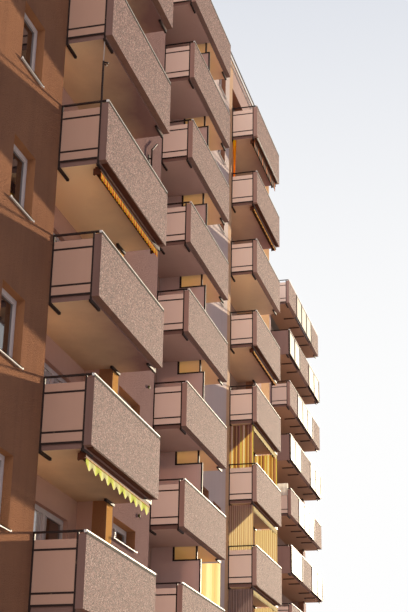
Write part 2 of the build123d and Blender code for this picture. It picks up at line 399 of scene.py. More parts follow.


# The limewash under some balconies, with painted bounce light and shade: it is palest where the slab meets
# the wall at pale_x, and darker away from there
@dataclass
class Limewash:
    start: float
    pale_x: float
    wall_y: float
    pale: tuple
    shaded: tuple


# How far a single slab's own lighter or darker patch reaches from its middle
SLAB_HALF_LENGTH = 1.2
SLAB_HALF_HEIGHT = 0.4

# How much painted shade a slab gets out to its edge, and along it over the given length
SHADE_OUTWARD = 0.68
SHADE_ALONG = 0.60
SHADE_LENGTH = 2.0


# The balcony slabs: limewash under them, with painted bounce light brightest at the pale end and painted
# shade towards the front and away from it, and bare concrete on their edges. Single slabs, by their near end
# and level, are lighter or darker.
def soffit_paint(name, first_zone, zones, single_slabs):
    t = Finish(name)
    worn = t.weathered(0.1, 50.0)
    at = t.axes(t.place)
    corner = place(first_zone.pale_x, first_zone.wall_y, 0)
    pale, shaded, wall_y, pale_x = rgb(*first_zone.pale), rgb(*first_zone.shaded), corner.y, corner.x
    for zone in zones:
        corner = place(zone.pale_x, zone.wall_y, 0)
        beyond = t.math("GREATER_THAN", at["X"], place(zone.start, 0, 0).x)
        pale = t.mix(beyond, pale, rgb(*zone.pale))
        shaded = t.mix(beyond, shaded, rgb(*zone.shaded))
        wall_y = t.blend(beyond, wall_y, corner.y)
        pale_x = t.blend(beyond, pale_x, corner.x)
    # Painted shade: darker out towards the front, and along the slab away from the pale end where the
    # painted bounce light is.
    outward = t.band(t.math("SUBTRACT", wall_y, at["Y"]), -0.1, REACH * SCALE)
    along = t.band(t.math("ABSOLUTE", t.math("SUBTRACT", at["X"], pale_x)), 0.0, SHADE_LENGTH)
    shade_and_unevenness = t.math("ADD", t.times(outward, SHADE_OUTWARD), t.times(along, SHADE_ALONG))
    for start, level, more in single_slabs:
        corner = place(start, 0, level)
        near_x = t.math("COMPARE", at["X"], corner.x + SLAB_HALF_LENGTH, SLAB_HALF_LENGTH)
        near_z = t.math("COMPARE", at["Z"], corner.z, SLAB_HALF_HEIGHT)
        shade_and_unevenness = t.math("ADD", shade_and_unevenness, t.times(t.times(near_x, near_z), more))
    uneven = t.times(t.math("SUBTRACT", t.noise(t.place, 2.2, 4.0), 0.5), 0.45)
    shade_and_unevenness = t.math("ADD", shade_and_unevenness, uneven, clamp=True)
    limewash = t.mix(0.22, t.mix(shade_and_unevenness, pale, shaded), t.toned(worn, ((255, 246, 236), (96, 70, 58))),
                     "SOFT_LIGHT")
    level_face = t.math("GREATER_THAN", t.math("ABSOLUTE", t.facing("Z")), TURNED)
    edge = t.toned(worn, ((148, 116, 106), (112, 84, 76)))
    return t.surface(t.mix(level_face, edge, limewash), 0.9, MATT, t.bump(worn["Height"], 0.35, 0.004))


# A board through which the sun behind it shows a little
def thin_board(name, tones, through):
    t = Finish(name)
    worn = t.weathered(0.12, 160.0)
    colour = t.toned(worn, tones)
    t.translucent(colour, through)
    return t.surface(colour, 0.5, GLOSSY, t.bump(worn["Height"], 0.1, 0.001))


PEBBLES_A_METRE = 84.0


# The balcony fronts: washed pebbles on the street face, smooth concrete on the other faces, and tones of
# their own on the undersides, darker past the first section as painted shade
def pebbled_concrete(name, smooth_tones, shaded_foot_tones):
    t = Finish(name)
    stones = t.node("ShaderNodeGroup", {"Vector": t.place, "Scale": PEBBLES_A_METRE},
                    node_tree=PEBBLES).outputs
    worn = t.weathered(0.35, 70.0)
    street = t.math("LESS_THAN", t.facing("Y"), -TURNED)
    # The undersides take their own tones, which paint their shade.
    foot = t.math("LESS_THAN", t.facing("Z"), -TURNED)
    smooth = t.mix(foot, t.toned(worn, smooth_tones), t.toned(worn, shaded_foot_tones))
    washed = t.mix(0.24, stones["Color"], t.toned(worn, ((170, 136, 128), (112, 84, 80))))
    height = t.math("ADD", t.times(stones["Height"], street), t.times(worn["Height"], 0.2))
    return t.surface(t.mix(street, smooth, washed), 0.85, 0.2, t.bump(height, 0.8, 0.006))


def painted_steel(name, colour):
    t = Finish(name)
    worn = t.weathered(0.4, 45.0)
    paint = t.mix(worn["Tone"], darker(colour, 0.75), rgb(*colour))
    spots = t.band(t.noise(t.place, 14.0, 6.0, 0.7), 0.62, 0.72)
    t.feed(t.shader, {"Coat Weight": 0.02, "Coat Roughness": 0.45})
    return t.surface(t.mix(spots, paint, rgb(120, 96, 78)), t.band(worn["Tone"], -0.9, 1.3), MATT,
                     t.bump(worn["Height"], 0.15, 0.002))


def bare_metal(name, colour):
    t = Finish(name)
    worn = t.weathered(0.2, 80.0)
    t.feed(t.shader, {"Metallic": 0.08})
    colour = t.mix(worn["Tone"], darker(colour, 0.82), rgb(*colour))
    return t.surface(colour, t.band(worn["Tone"], -0.8, 1.4))


# How many cells of chance a metre holds along x, y and z. Each is a storey high.
WINDOW_CELLS = (0.9, 0.2, 0.714)


# A window pane: its dark colour paints the shade of a room behind it, and in a share of the cells a drawn
# net curtain
def pane(name, room_shade, curtain, share):
    t = Finish(name)
    cell = t.node("ShaderNodeVectorMath", {0: t.stretched(t.place, WINDOW_CELLS)}, operation="FLOOR")
    chance = t.node("ShaderNodeTexWhiteNoise", {"Vector": cell.outputs["Vector"]}).outputs["Value"]
    folds = t.node("ShaderNodeTexWave", {"Vector": t.place, "Scale": 9.0, "Distortion": 2.0},
                   bands_direction="X").outputs["Fac"]
    net = t.mix(folds, darker(curtain, 0.75), rgb(*curtain))
    t.feed(t.shader, {"Coat Weight": 1.0, "Coat Roughness": 0.03})
    return t.surface(t.mix(t.math("LESS_THAN", chance, share), rgb(*room_shade), net), 0.08, GLOSSY,
                     t.bump(t.noise(t.place, 2.5, 2.0), 0.05, 0.01))


# The stripes are counted from this many repeats before the middle of the block
STRIPE_OFFSET = 50.0


# Cloth with even stripes across one axis, through which the sun shows
def striped_cloth(name, colours, width, along, through, shining=None):
    t = Finish(name)
    run = t.math("DIVIDE", t.axes(t.place)[along], width * len(colours))
    place_in_repeat = t.math("FRACT", t.math("ADD", run, STRIPE_OFFSET))

    def stripes(tones):
        return t.steps(place_in_repeat, [(i / len(tones), tone) for i, tone in enumerate(tones)])

    weave = t.noise(t.stretched(t.place, (1.0, 1.0, 0.15)), 220.0, 2.0)
    t.translucent(stripes(shining or colours), through)
    colour = t.mix(t.times(weave, 0.25), stripes(colours), rgb(110, 84, 50))
    return t.surface(colour, 0.85, 0.1, t.bump(weave, 0.3, 0.002))


def frosted_glass(name, tones):
    t = Finish(name)
    worn = t.weathered(0.15, 40.0)
    return t.surface(t.toned(worn, tones), 0.55, 0.06, t.bump(worn["Height"], 0.2, 0.002))


# Light and dark tones of the plaster, from the near end to the far end
OCHRE = ((196, 142, 106), (122, 90, 77))
# The next two tones are painted sunlight: brighter ochre on the piers that the low sun catches.
LIT_OCHRE = ((206, 152, 96), (176, 124, 76))
SUNLIT_NEAR_PIER = ((246, 190, 118), (218, 160, 98))
GREY = ((167, 137, 132), (137, 111, 109))
PALE_GREY = ((218, 200, 194), (190, 172, 166))
SAND = ((216, 180, 146), (190, 152, 120))
PEACH = ((196, 164, 156), (168, 140, 132))
LOGGIA = ((208, 168, 152), (180, 144, 130))
LOGGIA_RIGHT = BALCONY_1.end_x() - PILASTER


# The pier past the loggia takes the given tone, which is painted sunlight.
def near_zones(sunlit_pier):
    return [(0.0, *OCHRE), (LOGGIA_RIGHT - 0.01, *LOGGIA), (LOGGIA_RIGHT + 0.01, *sunlit_pier),
            (BALCONY_1.end_x() + 0.03, *GREY)]


# The lit ochre zone past the third balconies is painted sunlight, and the warm reveal tones are partly
# painted bounce light.
FRONT_PLASTER = mineral("front_plaster", near_zones(LIT_OCHRE) + [
    (SECTION_2.x, *PEACH), (BALCONY_2.end_x() - 0.40, *PALE_GREY), (BALCONY_3.x - 0.45, *SAND),
    (BALCONY_3.x + 0.10, *PEACH), (BALCONY_3.end_x() + 1.00, *LIT_OCHRE), (SECTION_3.x, *PEACH)],
    0.14, 74.0, 0.92, 1.0, 0.012, ((168, 122, 96), (142, 100, 78)))
# Its near pier tone is painted sunlight, and its warm reveal tones are partly painted bounce light.
NEAR_PLASTER = mineral("near_plaster", near_zones(SUNLIT_NEAR_PIER), 0.14, 120.0, 0.92, 1.0, 0.03,
                       ((206, 148, 106), (174, 120, 86)), 0.0)
SIDE_PLASTER = mineral("side_plaster", ((142, 114, 98), (120, 94, 80)), 0.35, 80.0)
BACK_PLASTER = mineral("back_plaster", ((190, 160, 142), (162, 134, 118)), 0.35, 80.0)
LOGGIA_PLASTER = mineral("loggia_plaster", [
    (0.0, *LOGGIA), (SECTION_2.x, (184, 156, 142), (156, 130, 116))], 0.1, 80.0)
SOFFIT_PAINT_AND_LIGHT = soffit_paint("soffit_paint", Limewash(
    0.0, BALCONY_1.x, SECTION_1.wall_y, (255, 223, 178), (132, 100, 94)), [
    Limewash(SECTION_2.x, BALCONY_2.x, SECTION_2.wall_y, (200, 168, 156), (184, 150, 142)),
    # The far half of the second balconies is paler and yellow: painted bounce light of the low sun past the
    # screens.
    Limewash(BALCONY_2.middle_x(), BALCONY_2.x + 2.4, SECTION_2.wall_y, (246, 218, 144), (226, 176, 156)),
    Limewash(BALCONY_3.x - 1.0, BALCONY_3.x + 0.5, SECTION_2.wall_y, (255, 221, 180), (176, 136, 130)),
    Limewash(SECTION_3.x, BALCONY_4.x, SECTION_3.wall_y, (196, 154, 124), (176, 134, 110))],
    # Single slabs, listed by near end, level and amount, are lighter or darker.
    [(BALCONY_1.x, SECTION_1.level(5), 0.08), (BALCONY_1.x, SECTION_1.level(4), -0.40),
     (BALCONY_3.x, SECTION_2.level(8), 0.10), (BALCONY_3.x, SECTION_2.level(7), 0.20),
     (BALCONY_3.x, SECTION_2.level(6), -0.45)])
# Past the first section the boards are paler: painted light of the haze and sun flare towards the far end.
INFILL_BOARD = mineral("infill_board", [
    (0.0, (196, 158, 137), (178, 140, 121)), (SECTION_2.x, (250, 226, 208), (238, 210, 192))],
    0.12, 160.0, 0.55, 0.1, 0.001)
BOARDING = mineral("boarding", ((170, 138, 128), (146, 116, 106)), 0.2, 100.0, 0.7)
SCREEN_BOARD = thin_board("screen_board", ((226, 198, 190), (206, 178, 170)), 0.25)
# The second list is the undersides' tones, darker past the first section as painted shade.
PEBBLED = pebbled_concrete("pebbled_concrete", [
    (0.0, (144, 114, 104), (108, 80, 72)), (SECTION_2.x, (188, 154, 142), (158, 124, 112))], [
    (0.0, (144, 108, 92), (110, 80, 68)), (SECTION_2.x, (146, 116, 106), (116, 90, 82)),
    (BALCONY_3.x - 1.0, (176, 142, 128), (146, 114, 102))])
RAW_CONCRETE = mineral("raw_concrete", ((176, 168, 158), (140, 132, 124)), 0.3)
ROOFING = mineral("roof_gravel", ((168, 162, 154), (118, 112, 106)), 0.0, 120.0, 0.95, 0.8, 0.01)
DARK_STEEL = painted_steel("dark_steel", (52, 38, 34))
BROWN_STEEL = painted_steel("brown_steel", (92, 68, 56))
PALE_STEEL = painted_steel("pale_steel", (200, 190, 180))
OLIVE_PAINT = painted_steel("olive_paint", (96, 92, 44))
ALUMINIUM = bare_metal("aluminium", (236, 232, 226))
ROOF_METAL = mineral("roof_metal", ((246, 244, 240), (226, 222, 218)), 0.1, 60.0, 0.4, 0.1)
FROSTED = frosted_glass("frosted_glass", ((218, 212, 194), (194, 188, 168)))
UMBER_CASE = mineral("umber_case", ((96, 50, 28), (66, 34, 22)), 0.3, 60.0, 0.75)
# A near-black paint for the painted shadow under the handrails
SHADOW_GAP_PAINT = mineral("gap_paint", ((48, 36, 32), (32, 24, 22)), 0.1)
FRAME_PAINT = mineral("frame_paint", ((214, 204, 202), (186, 174, 172)), 0.1, 120.0, 0.45, 0.1, 0.001)
ROOM_PANE = pane("room_pane", (34, 26, 26), (150, 140, 132), 0.06)
BACK_PANE = pane("back_pane", (30, 30, 34), (196, 190, 180), 0.35)
DOOR_PANE = pane("door_pane", (34, 26, 24), (224, 220, 218), 0.40)

NODE_FINISHES = {
    NEAR_PLASTER: ["front_piers_1", "front_spandrels_1"],
    FRONT_PLASTER: ["front_piers_2", "front_piers_3", "front_spandrels_2", "front_spandrels_3"],
    SIDE_PLASTER: ["end_walls_1", "end_walls_2", "end_walls_3"],
    BACK_PLASTER: ["back_piers", "back_spandrels"],
    LOGGIA_PLASTER: ["loggia_piers", "loggia_lintels", "loggia_returns"],
    SOFFIT_PAINT_AND_LIGHT: ["balcony_slabs_1", "balcony_slabs_2", "balcony_slabs_3", "balcony_slabs_4"],
    INFILL_BOARD: ["end_infills"],
    BOARDING: ["end_boards"],
    SCREEN_BOARD: ["screen_panels", "screen_inner_panels"],
    PEBBLED: ["front_panels_1", "front_panels_2", "front_panels_3", "front_panels_4"],
    RAW_CONCRETE: ["ground_slabs", "floor_slabs_1", "floor_slabs_2", "floor_slabs_3"],
    ROOFING: ["roof_slabs"],
    DARK_STEEL: ["end_frames", "post_feet", "screen_posts"],
    BROWN_STEEL: ["balcony_ribs"],
    ALUMINIUM: ["front_handrails"],
    ROOF_METAL: ["roof_edge_front", "roof_edge_back", "roof_edge_ends"],
    FROSTED: ["glazed_panels"],
}

for finish, names in NODE_FINISHES.items():
    for name in names:
        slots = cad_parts[name].data.materials
        slots.clear()
        slots.append(finish)


def new_piece(name, points, faces, finish):
    mesh = bpy.data.meshes.new(name)
    mesh.from_pydata(points, [], faces)
    mesh.materials.append(finish)
    return new_object(name, mesh)


# A mesh gathered from plain shapes, in metres of the real building
class Shape:
    BOX_FACES = ((0, 1, 3, 2), (4, 6, 7, 5), (0, 4, 5, 1), (2, 3, 7, 6), (0, 2, 6, 4), (1, 5, 7, 3))

    def __init__(self):
        self.points = []
        self.faces = []

    def box(self, x0, x1, y0, y1, z0, z1):
        first = len(self.points)
        self.points += [(x, y, z) for x in (x0, x1) for y in (y0, y1) for z in (z0, z1)]
        self.faces += [[first + i for i in face] for face in self.BOX_FACES]

    # A rectangle's outline in the x-z plane, of bars with the given width
    def border(self, x0, x1, z0, z1, y0, y1, width):
        self.box(x0, x0 + width, y0, y1, z0, z1)
        self.box(x1 - width, x1, y0, y1, z0, z1)
        self.box(x0 + width, x1 - width, y0, y1, z0, z0 + width)
        self.box(x0 + width, x1 - width, y0, y1, z1 - width, z1)

    def tube(self, start, end, radius, sides=8):
        first = len(self.points)
        self.ring(start, end, radius, radius, sides)
        self.faces.append([first + sides - 1 - i for i in range(sides)])
        self.faces.append([first + sides + i for i in range(sides)])

    # A ring of a turned shape, between two circles on one axis
    def ring(self, start, end, start_radius, end_radius, sides):
        start, end = Vector(start), Vector(end)
        turn = (end - start).to_track_quat("Z", "Y")
        angles = [2 * pi * i / sides for i in range(sides)]
        first = len(self.points)
        for middle, radius in ((start, start_radius), (end, end_radius)):
            self.points += [middle + turn @ Vector((radius * cos(a), radius * sin(a), 0))
                            for a in angles]
        for i in range(sides):
            j = (i + 1) % sides
            self.faces.append([first + i, first + j, first + sides + j, first + sides + i])

    def object(self, name, finish):
        return new_piece(name, [place(*p) for p in self.points], self.faces, finish)


# Geometry Nodes: the piece repeated at even steps, such as once a storey
def make_repeat_tree():
    t, given, out = group("repeat", "GeometryNodeTree",
                          {"Geometry": "Geometry", "Count": "Int", "Step": "Vector", "Material": "Material"},
                          {"Geometry": "Geometry"})
    line = t.node("GeometryNodeMeshLine", {"Count": given["Count"], "Offset": given["Step"]}, mode="OFFSET")
    placed = t.node("GeometryNodeInstanceOnPoints", {"Points": line.outputs["Mesh"],
                                                     "Instance": given["Geometry"]})
    real = t.node("GeometryNodeRealizeInstances", {"Geometry": placed.outputs["Instances"]})
    coloured = t.node("GeometryNodeSetMaterial", {"Geometry": real.outputs["Geometry"],
                                                  "Material": given["Material"]})
    t.feed(out, {"Geometry": coloured.outputs["Geometry"]})
    return t.tree


REPEAT_TREE = make_repeat_tree()


# The piece repeated upwards. Its evaluated mesh becomes its own, and the modifier goes.
def stacked(piece, count=STOREYS, rise=STOREY):
    modifier = piece.modifiers.new("repeat", "NODES")
    modifier.node_group = REPEAT_TREE
    values = {"Count": count, "Step": [0.0, 0.0, rise * SCALE], "Material": piece.data.materials[0]}
    for item in REPEAT_TREE.interface.items_tree:
        if item.in_out == "INPUT" and item.name in values:
            modifier[item.identifier] = values[item.name]
    evaluated = piece.evaluated_get(bpy.context.evaluated_depsgraph_get())
    mesh = bpy.data.meshes.new_from_object(evaluated)
    piece.modifiers.clear()
    piece.data = mesh
    return piece


# Pieces of one finish become one piece of that name
def joined(name, pieces):
    finish = pieces[0].data.materials[0]
    points, faces = [], []
    for piece in pieces:
        first = len(points)
        points += [v.co.copy() for v in piece.data.vertices]
        faces += [[first + i for i in p.vertices] for p in piece.data.polygons]
        bpy.data.objects.remove(piece)
    return new_piece(name, points, faces, finish)


def dress(piece):
    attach(piece, "root")
    return piece


# A window or door in a wall: frame, sashes, panes and sill, as made for the lowest of its storeys
@dataclass
class Window:
    x0: float
    x1: float
    foot: float
    head: float
    wall_y: float
    setback: float
    sashes: int
    outward: int
    sill: bool
    storeys: int = STOREYS

    FRAME = 0.06
    FRAME_DEPTH = 0.07
    SASH = 0.05
    SASH_AHEAD = 0.015
    SASH_BEHIND = 0.04
    GLASS_BEHIND = 0.02
    GLASS = 0.01
    SILL = 0.02
    SILL_REACH = 0.05
    SILL_LIP = 0.015
    SILL_END = 0.04

    # The span in y from one depth behind the frame's face to another, low end first
    def behind(self, near, far):
        face = self.wall_y - self.outward * self.setback
        return sorted((face - self.outward * near, face - self.outward * far))

    def shapes(self):
        frames, panes, sills = Shape(), Shape(), Shape()
        frames.border(self.x0, self.x1, self.foot, self.head, *self.behind(0, self.FRAME_DEPTH), self.FRAME)
        foot, head = self.foot + self.FRAME, self.head - self.FRAME
        width = (self.x1 - self.x0 - 2 * self.FRAME) / self.sashes
        for i in range(self.sashes):
            left = self.x0 + self.FRAME + i * width
            frames.border(left, left + width, foot, head, *self.behind(-self.SASH_AHEAD, self.SASH_BEHIND),
                          self.SASH)
            panes.box(left + self.SASH, left + width - self.SASH,
                      *self.behind(self.GLASS_BEHIND, self.GLASS_BEHIND + self.GLASS),
                      foot + self.SASH, head - self.SASH)
        if self.sill:
            edge = -self.setback - self.SILL_REACH
            top = self.foot + self.SILL
            sills.box(self.x0, self.x1, *self.behind(edge, 0), self.foot, top)
            sills.box(self.x0 - self.SILL_END, self.x1 + self.SILL_END,
                      *self.behind(edge, edge + self.SILL_LIP), self.foot - self.SILL_LIP, top)
        return frames, panes, sills


def make_windows(name, windows, pane_finish):
    kinds = (("frames", FRAME_PAINT), ("panes", pane_finish), ("sills", ALUMINIUM))
    gathered = {kind: [] for kind, _ in kinds}
    for window in windows:
        for (kind, finish), shape in zip(kinds, window.shapes()):
            if shape.points:
                gathered[kind].append(stacked(shape.object("window", finish), window.storeys))
    for kind, _ in kinds:
        if gathered[kind]:
            dress(joined(name + "_" + kind, gathered[kind]))


def front_windows():
    for section in SECTIONS:
        first = section.first
        rooms, highs, doors = [], [], []
        for balcony in section.balconies:
            left = balcony.window_x()
            rooms.append(Window(left, left + WINDOW_WIDTH, first + WINDOW_SILL, first + WINDOW_HEAD,
                                section.wall_y, WINDOW_SETBACK, 1, TO_STREET, True))
            if section is not SECTION_3:
                left = balcony.end_x() + HIGH_WINDOW_GAP
                highs.append(Window(left, left + HIGH_WINDOW_WIDTH, first + HIGH_WINDOW_SILL,
                                    first + HIGH_WINDOW_HEAD, section.wall_y, HIGH_WINDOW_SETBACK, 2,
                                    TO_STREET, True))
            for left, right in balcony.door_spans():
                doors.append(Window(left, right, first + DOOR_FOOT, first + DOOR_HEAD,
                                    section.wall_y + RECESS, DOOR_SETBACK, 2, TO_STREET, False))
        make_windows("room_window_" + section.name, rooms, ROOM_PANE)
        make_windows("high_window_" + section.name, highs, ROOM_PANE)
        make_windows("balcony_door_" + section.name, doors, DOOR_PANE)


def back_windows():
    windows = []
    for section in SECTIONS:
        count = int((section.length - 2 * WALL - BACK_WINDOW_WIDTH) // BACK_WINDOW_PITCH) + 1
        spread = (count - 1) * BACK_WINDOW_PITCH + BACK_WINDOW_WIDTH
        start = section.x + (section.length - spread) / 2
        for i in range(count):
            left = start + i * BACK_WINDOW_PITCH
            for foot, head, storeys in (
                    (section.first + WINDOW_SILL, section.first + WINDOW_HEAD, STOREYS),
                    (GROUND_SLAB + GROUND_SILL, GROUND_SLAB + GROUND_HEAD, 1)):
                windows.append(Window(left, left + BACK_WINDOW_WIDTH, foot, head, section.back_y(),
                                      BACK_WINDOW_SETBACK, 2, TO_BACK, True, storeys))
    make_windows("back_window", windows, BACK_PANE)


def ground_doors():
    doors = []
    for section, balcony in COLUMNS:
        left = balcony.window_x()
        doors.append(Window(left, left + WINDOW_WIDTH, GROUND_SLAB, GROUND_SLAB + GROUND_HEAD,
                            section.wall_y, DOORWAY_SETBACK, 1, TO_STREET, False, 1))
    make_windows("ground_door", doors, ROOM_PANE)


front_windows()
back_windows()
ground_doors()

# Flat bars across each balcony end, in front of the infill board. Every second storey down on the
# last section has plain boards there instead.
BAR_HEIGHTS = (0.066, 0.267, 1.000)
BAR = 0.035
BAR_THICKNESS = 0.014
BAR_PROUD = 0.002


def balcony_bars():
    gathered = []
    for section, balcony in COLUMNS:
        count, rise, first = STOREYS, STOREY, section.first
        if section is SECTION_3:
            count, rise, first = STOREYS // 2 + 1, 2 * STOREY, section.level(1)
        for left in (balcony.x - BAR_PROUD, balcony.end_x() + BAR_PROUD - BAR_THICKNESS):
            bars = Shape()
            for height in BAR_HEIGHTS:
                bars.box(left, left + BAR_THICKNESS, section.inner_y(), section.wall_y,
                         first + height - BAR / 2, first + height + BAR / 2)
            gathered.append(stacked(bars.object("bars", DARK_STEEL), count, rise))
    dress(joined("balcony_end_bars", gathered))


# Dark bars at the edges of each glazed field and between its panes
MULLION = 0.06
MULLION_AHEAD = 0.03
TRANSOM = 0.04
TRANSOM_AHEAD = 0.015


def glazing_bars():
    front = SECTION_3.front_y()
    start, end = BALCONY_4.x, BALCONY_4.end_x()
    fields = {1: [(start + FIELD_1_LONG, start + FIELD_1_LONG + FIELD_2_LONG)],
              0: [(start, start + FIELD_1_SHORT), (start + FIELD_1_SHORT + FIELD_2_SHORT, end)]}
    gathered = []
    for storey, spans in fields.items():
        bars = Shape()
        foot = SECTION_3.level(storey)
        head = foot + PANEL_HEIGHT
        for left, right in spans:
            panes = round((right - left) / PANE)
            for i in range(panes + 1):
                x = min(max(left + (right - left) * i / panes, start + MULLION / 2), end - MULLION / 2)
                bars.box(x - MULLION / 2, x + MULLION / 2, front - MULLION_AHEAD, front + GLAZING + 0.004,
                         foot, head)
            for z in (foot, head - TRANSOM):
                bars.box(left, right, front - TRANSOM_AHEAD, front + GLAZING + 0.003, z, z + TRANSOM)
        gathered.append(stacked(bars.object("bars", BROWN_STEEL), (STOREYS + 1) // 2, 2 * STOREY))
    dress(joined("glazing_bars", gathered))


# A dark edge round each screen, at its front and along its top
EDGE = 0.01
EDGE_DEPTH = 0.035
EDGE_HEIGHT = 0.03


def screen_edges():
    x = BALCONY_2.middle_x()
    half = SCREEN / 2 + EDGE
    front = SECTION_2.inner_y()
    foot = SECTION_2.first + DOOR_FOOT
    top = SECTION_2.first + SCREEN_TOP
    edge = Shape()
    edge.box(x - half, x + half, front - EDGE, front + EDGE_DEPTH, foot, top + EDGE)
    edge.box(x - half, x + half, front + EDGE_DEPTH, SECTION_2.wall_y, top - EDGE_HEIGHT, top + EDGE)
    dress(stacked(edge.object("screen_edges", DARK_STEEL)))


# The roof edge over the street: plaster below, white metal above, a dark line under and over the metal
ROOF_OVERHANG = 0.05
ROOF_BAND = (0.02, 0.14)
ROOF_LINES = ((0.13, 0.17), (0.385, 0.445))
ROOF_TRIM_BACK = 0.02


def roof_edge_trim():
    lines, bands = Shape(), Shape()
    for section in SECTIONS:
        end = section.x + section.length
        face = section.wall_y - ROOF_OVERHANG
        back = face + ROOF_TRIM_BACK
        foot, head = ROOF_BAND
        bands.box(section.x, end, face - 0.004, back, section.top + foot, section.top + head)
        for foot, head in ROOF_LINES:
            lines.box(section.x, end, face - 0.02, back, section.top + foot, section.top + head)
    dress(bands.object("roof_edge_bands", FRONT_PLASTER))
    dress(lines.object("roof_edge_lines", DARK_STEEL))


# A dark strip in the gap between a balcony front and its handrail: painted shadow
GAP_HEIGHT = 0.055
GAP_DEPTH = 0.04
GAP_INSET = 0.01


def handrail_shadow_strips():
    gathered = []
    for section, balcony in COLUMNS:
        front = section.front_y()
        foot = section.first + PANEL_HEIGHT - GAP_INSET
        gap = Shape()
        gap.box(balcony.x + GAP_INSET, balcony.end_x() - GAP_INSET, front - 0.004, front + GAP_DEPTH,
                foot, foot + GAP_HEIGHT)
        gathered.append(stacked(gap.object("gap", SHADOW_GAP_PAINT)))
    dress(joined("handrail_shadow_strips", gathered))


# A steel rod on the near front corner of a balcony in column 1, with two short arms and a thin tip
# that reaches the slab above
def corner_rod():
    rod, tip = Shape(), Shape()
    x = BALCONY_1.x + 0.06
    y = SECTION_1.front_y() + 0.175
    foot = SECTION_1.level(4) + HANDRAIL_TOP
    head = SECTION_1.level(5) - SLAB_DROP
    hook = foot + 0.62 * (head - foot)
    rod.tube((x, y, foot - 0.02), (x, y, hook + 0.04), 0.022)
    rod.tube((x, y, hook + 0.02), (x + 0.02, y - 0.10, hook - 0.01), 0.018)
    rod.tube((x, y, hook - 0.02), (x + 0.02, y - 0.07, hook - 0.06), 0.014)
    tip.tube((x, y, hook + 0.04), (x, y, head), 0.009)
    dress(rod.object("corner_rod", DARK_STEEL))
    dress(tip.object("corner_rod_tip", PALE_STEEL))


# Two round fittings on the grey wall past the first balconies: where they are, and each profile's
# points by how far out from the wall and how wide they are
ROUND_FITTINGS = ((10.88, 11.03), (10.51, 8.00))
FITTING_PROFILE = ((0.0, 0.02), (0.01, 0.036), (0.022, 0.046), (0.034, 0.042), (0.044, 0.028),
                   (0.05, 0.003))
FITTING_SIDES = 20


def round_fittings():
    cups = Shape()
    wall = SECTION_1.wall_y
    for x, z in ROUND_FITTINGS:
        for (near, inner), (far, outer) in zip(FITTING_PROFILE, FITTING_PROFILE[1:]):
            cups.ring((x, wall - near, z), (x, wall - far, z), inner, outer, FITTING_SIDES)
    dress(cups.object("round_fittings", OLIVE_PAINT))


# A bracket on the same wall: a plate, a stub, an upright, and an arm that leans away from it
def wall_bracket():
    arm = Shape()
    wall = SECTION_1.wall_y
    x, foot = 10.33, SECTION_1.level(4) + 2.85
    y = wall - 0.07
    arm.box(x - 0.05, x + 0.05, wall - 0.015, wall, foot + 0.16, foot + 0.34)
    arm.tube((x, wall - 0.01, foot + 0.25), (x, wall - 0.08, foot + 0.25), 0.02)
    arm.tube((x, y, foot), (x, y, foot + 0.50), 0.02)
    arm.tube((x, y, foot + 0.48), (x + 0.37, y, foot + 0.84), 0.018)
    dress(arm.object("wall_bracket", DARK_STEEL))


balcony_bars()
glazing_bars()
screen_edges()
roof_edge_trim()
handrail_shadow_strips()
corner_rod()
round_fittings()
wall_bracket()

# Cloths: their colours, one stripe's width in the model, the axis the stripes follow, how much of the
# sun comes through, and the colours that it then shows
ORANGE_CLOTH = striped_cloth("orange_cloth", [(255, 204, 24), (255, 160, 20), (228, 104, 8)], 0.028, "X",
                             0.35, [(255, 226, 60), (255, 176, 30), (240, 120, 10)])
GREEN_CLOTH = striped_cloth("green_cloth", [(240, 255, 96), (252, 255, 168)], 0.17, "X", 0.3)
CREAM_CLOTH = striped_cloth("cream_cloth", [(255, 240, 180), (246, 220, 140)], 0.05, "X", 0.35)
PEACH_CLOTH = striped_cloth("peach_cloth", [(226, 180, 120), (206, 160, 104)], 0.05, "X", 0.2)
RUST_CLOTH = striped_cloth("rust_cloth", [(96, 40, 12), (48, 22, 12), (176, 84, 10), (40, 18, 10)], 0.09,
                           "X", 0.1)
BROWN_CLOTH = striped_cloth("brown_cloth", [(84, 46, 26), (58, 32, 20)], 0.06, "X", 0.15)
PALE_CLOTH = striped_cloth("pale_cloth", [(255, 253, 246), (246, 242, 232)], 0.06, "Y", 0.45)
WIDE_STRIPES = striped_cloth("wide_stripes", [
    (84, 48, 54), (76, 44, 48), (188, 158, 160), (120, 82, 88), (84, 50, 54), (142, 104, 110), (90, 54, 60),
    (128, 88, 94)], 0.026, "Y", 0.23, [
    (170, 110, 50), (236, 186, 84), (255, 252, 160), (226, 170, 84), (255, 236, 110), (206, 150, 80),
    (140, 84, 46), (246, 210, 104)])
FINE_STRIPES = striped_cloth("fine_stripes", [(156, 116, 122), (96, 64, 70)], 0.018, "Y", 0.24,
                             [(255, 246, 184), (236, 196, 130)])
DULL_STRIPES = striped_cloth("dull_stripes", [(152, 130, 126), (92, 74, 72)], 0.014, "Y", 0.15)
YELLOW_CLOTH = striped_cloth("yellow_cloth", [(224, 206, 164), (212, 190, 140)], 0.09, "Y", 0.40,
                             [(255, 236, 180), (232, 204, 140)])


# A sheet of cloth on a grid. point() gives each place on it from its shares across and down the cloth.
# The flat width is the top edge's length, and the flat height the longest straight drop.
def cloth_sheet(name, finish, columns, rows, point):
    points = [place(*point(i / columns, j / rows)) for i in range(columns + 1) for j in range(rows + 1)]
    line = rows + 1
    faces = [(a, a + line, a + line + 1, a + 1)
             for i in range(columns) for a in range(i * line, i * line + rows)]
    made = dress(new_piece(name, points, faces, finish))
    for face in made.data.polygons:
        face.use_smooth = True
    width = sum((points[(i + 1) * line] - points[i * line]).length for i in range(columns))
    height = max((points[i * line] - points[i * line + rows]).length for i in range(columns + 1))
    return made, width, height, sum(face.area for face in made.data.polygons)


